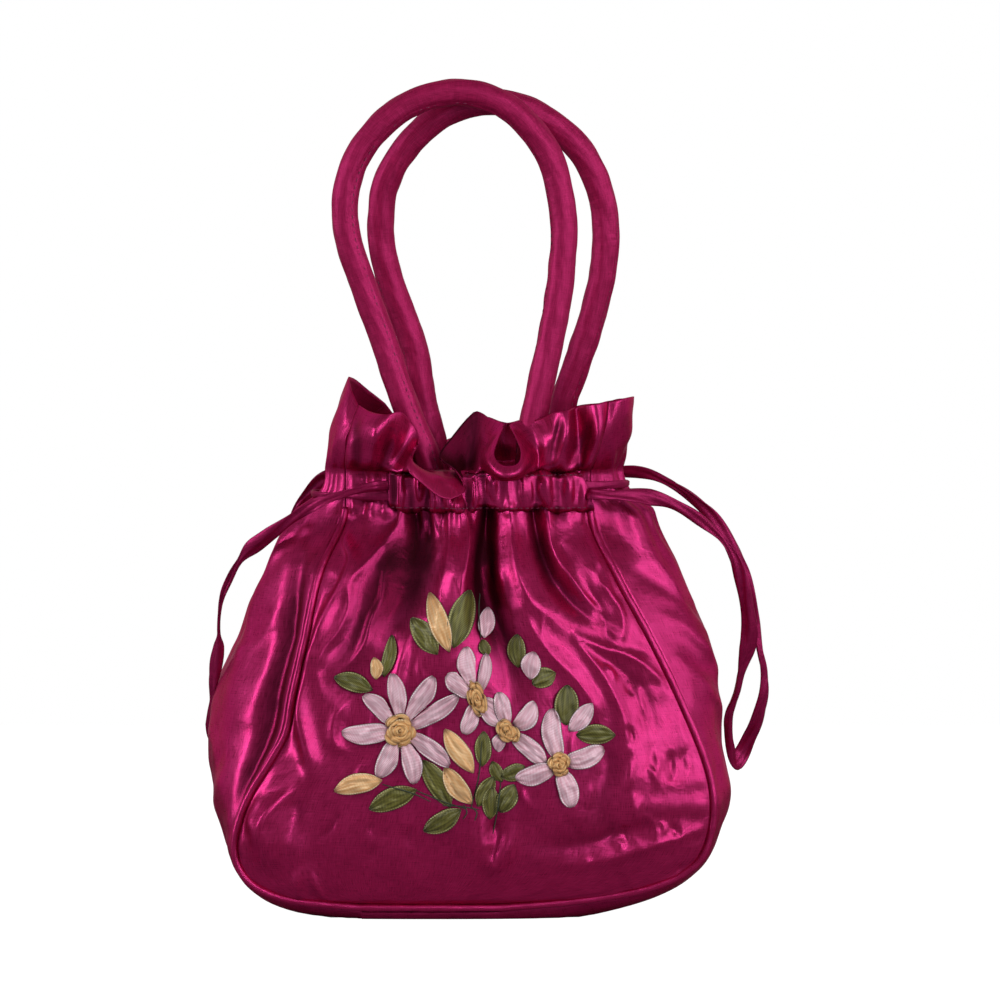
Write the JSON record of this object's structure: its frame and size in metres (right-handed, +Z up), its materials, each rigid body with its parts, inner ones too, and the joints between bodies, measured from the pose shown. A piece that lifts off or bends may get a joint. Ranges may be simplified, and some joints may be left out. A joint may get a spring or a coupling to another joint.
{
  "type": "drawstring pouch",
  "caption": "Gathered satin evening pouch with a frilled mouth, side drawstrings, padded tube handles and ribbon daisies on the front.",
  "frame": {"origin": "the middle of the flat underside of the gusset, on the surface that the pouch stands on", "axes": "+Z up along the handles, +X to the right seen from the front, the embroidered front panel faces -Y"},
  "size_m": [0.2305, 0.1034, 0.3352],
  "materials": {
    "satin": "magenta polyester satin",
    "pink_ribbon": "pale pink satin ribbon",
    "gold_ribbon": "gold satin ribbon",
    "green_ribbon": "olive green satin ribbon"
  },
  "bodies": {
    "root": {"back_casing": "satin", "back_panel": "satin", "back_piping": "satin", "daisy_large_centre": "gold_ribbon", "daisy_large_petals": "pink_ribbon", "daisy_middle_centre": "gold_ribbon", "daisy_middle_petals": "pink_ribbon", "daisy_right_centre": "gold_ribbon", "daisy_right_petals": "pink_ribbon", "daisy_upper_centre": "gold_ribbon", "daisy_upper_petals": "pink_ribbon", "drawstring_left": "satin", "drawstring_right": "satin", "front_casing": "satin", "front_panel": "satin", "front_piping": "satin", "gold_petal_01": "gold_ribbon", "gold_petal_02": "gold_ribbon", "gold_petal_03": "gold_ribbon", "gold_petal_04": "gold_ribbon", "gold_petal_05": "gold_ribbon", "gusset": "satin", "handle_back": "satin", "handle_front": "satin", "leaf_01": "green_ribbon", "leaf_02": "green_ribbon", "leaf_03": "green_ribbon", "leaf_04": "green_ribbon", "leaf_05": "green_ribbon", "leaf_06": "green_ribbon", "leaf_07": "green_ribbon", "leaf_08": "green_ribbon", "leaf_09": "green_ribbon", "leaf_10": "green_ribbon", "leaf_11": "green_ribbon", "leaf_12": "green_ribbon", "leaf_13": "green_ribbon", "leaf_14": "green_ribbon", "leaf_15": "green_ribbon", "leaf_16": "green_ribbon", "leaf_17": "green_ribbon", "leaf_18": "green_ribbon", "pink_petal_01": "pink_ribbon", "pink_petal_02": "pink_ribbon", "pink_petal_03": "pink_ribbon"}
  },
  "joints": []
}
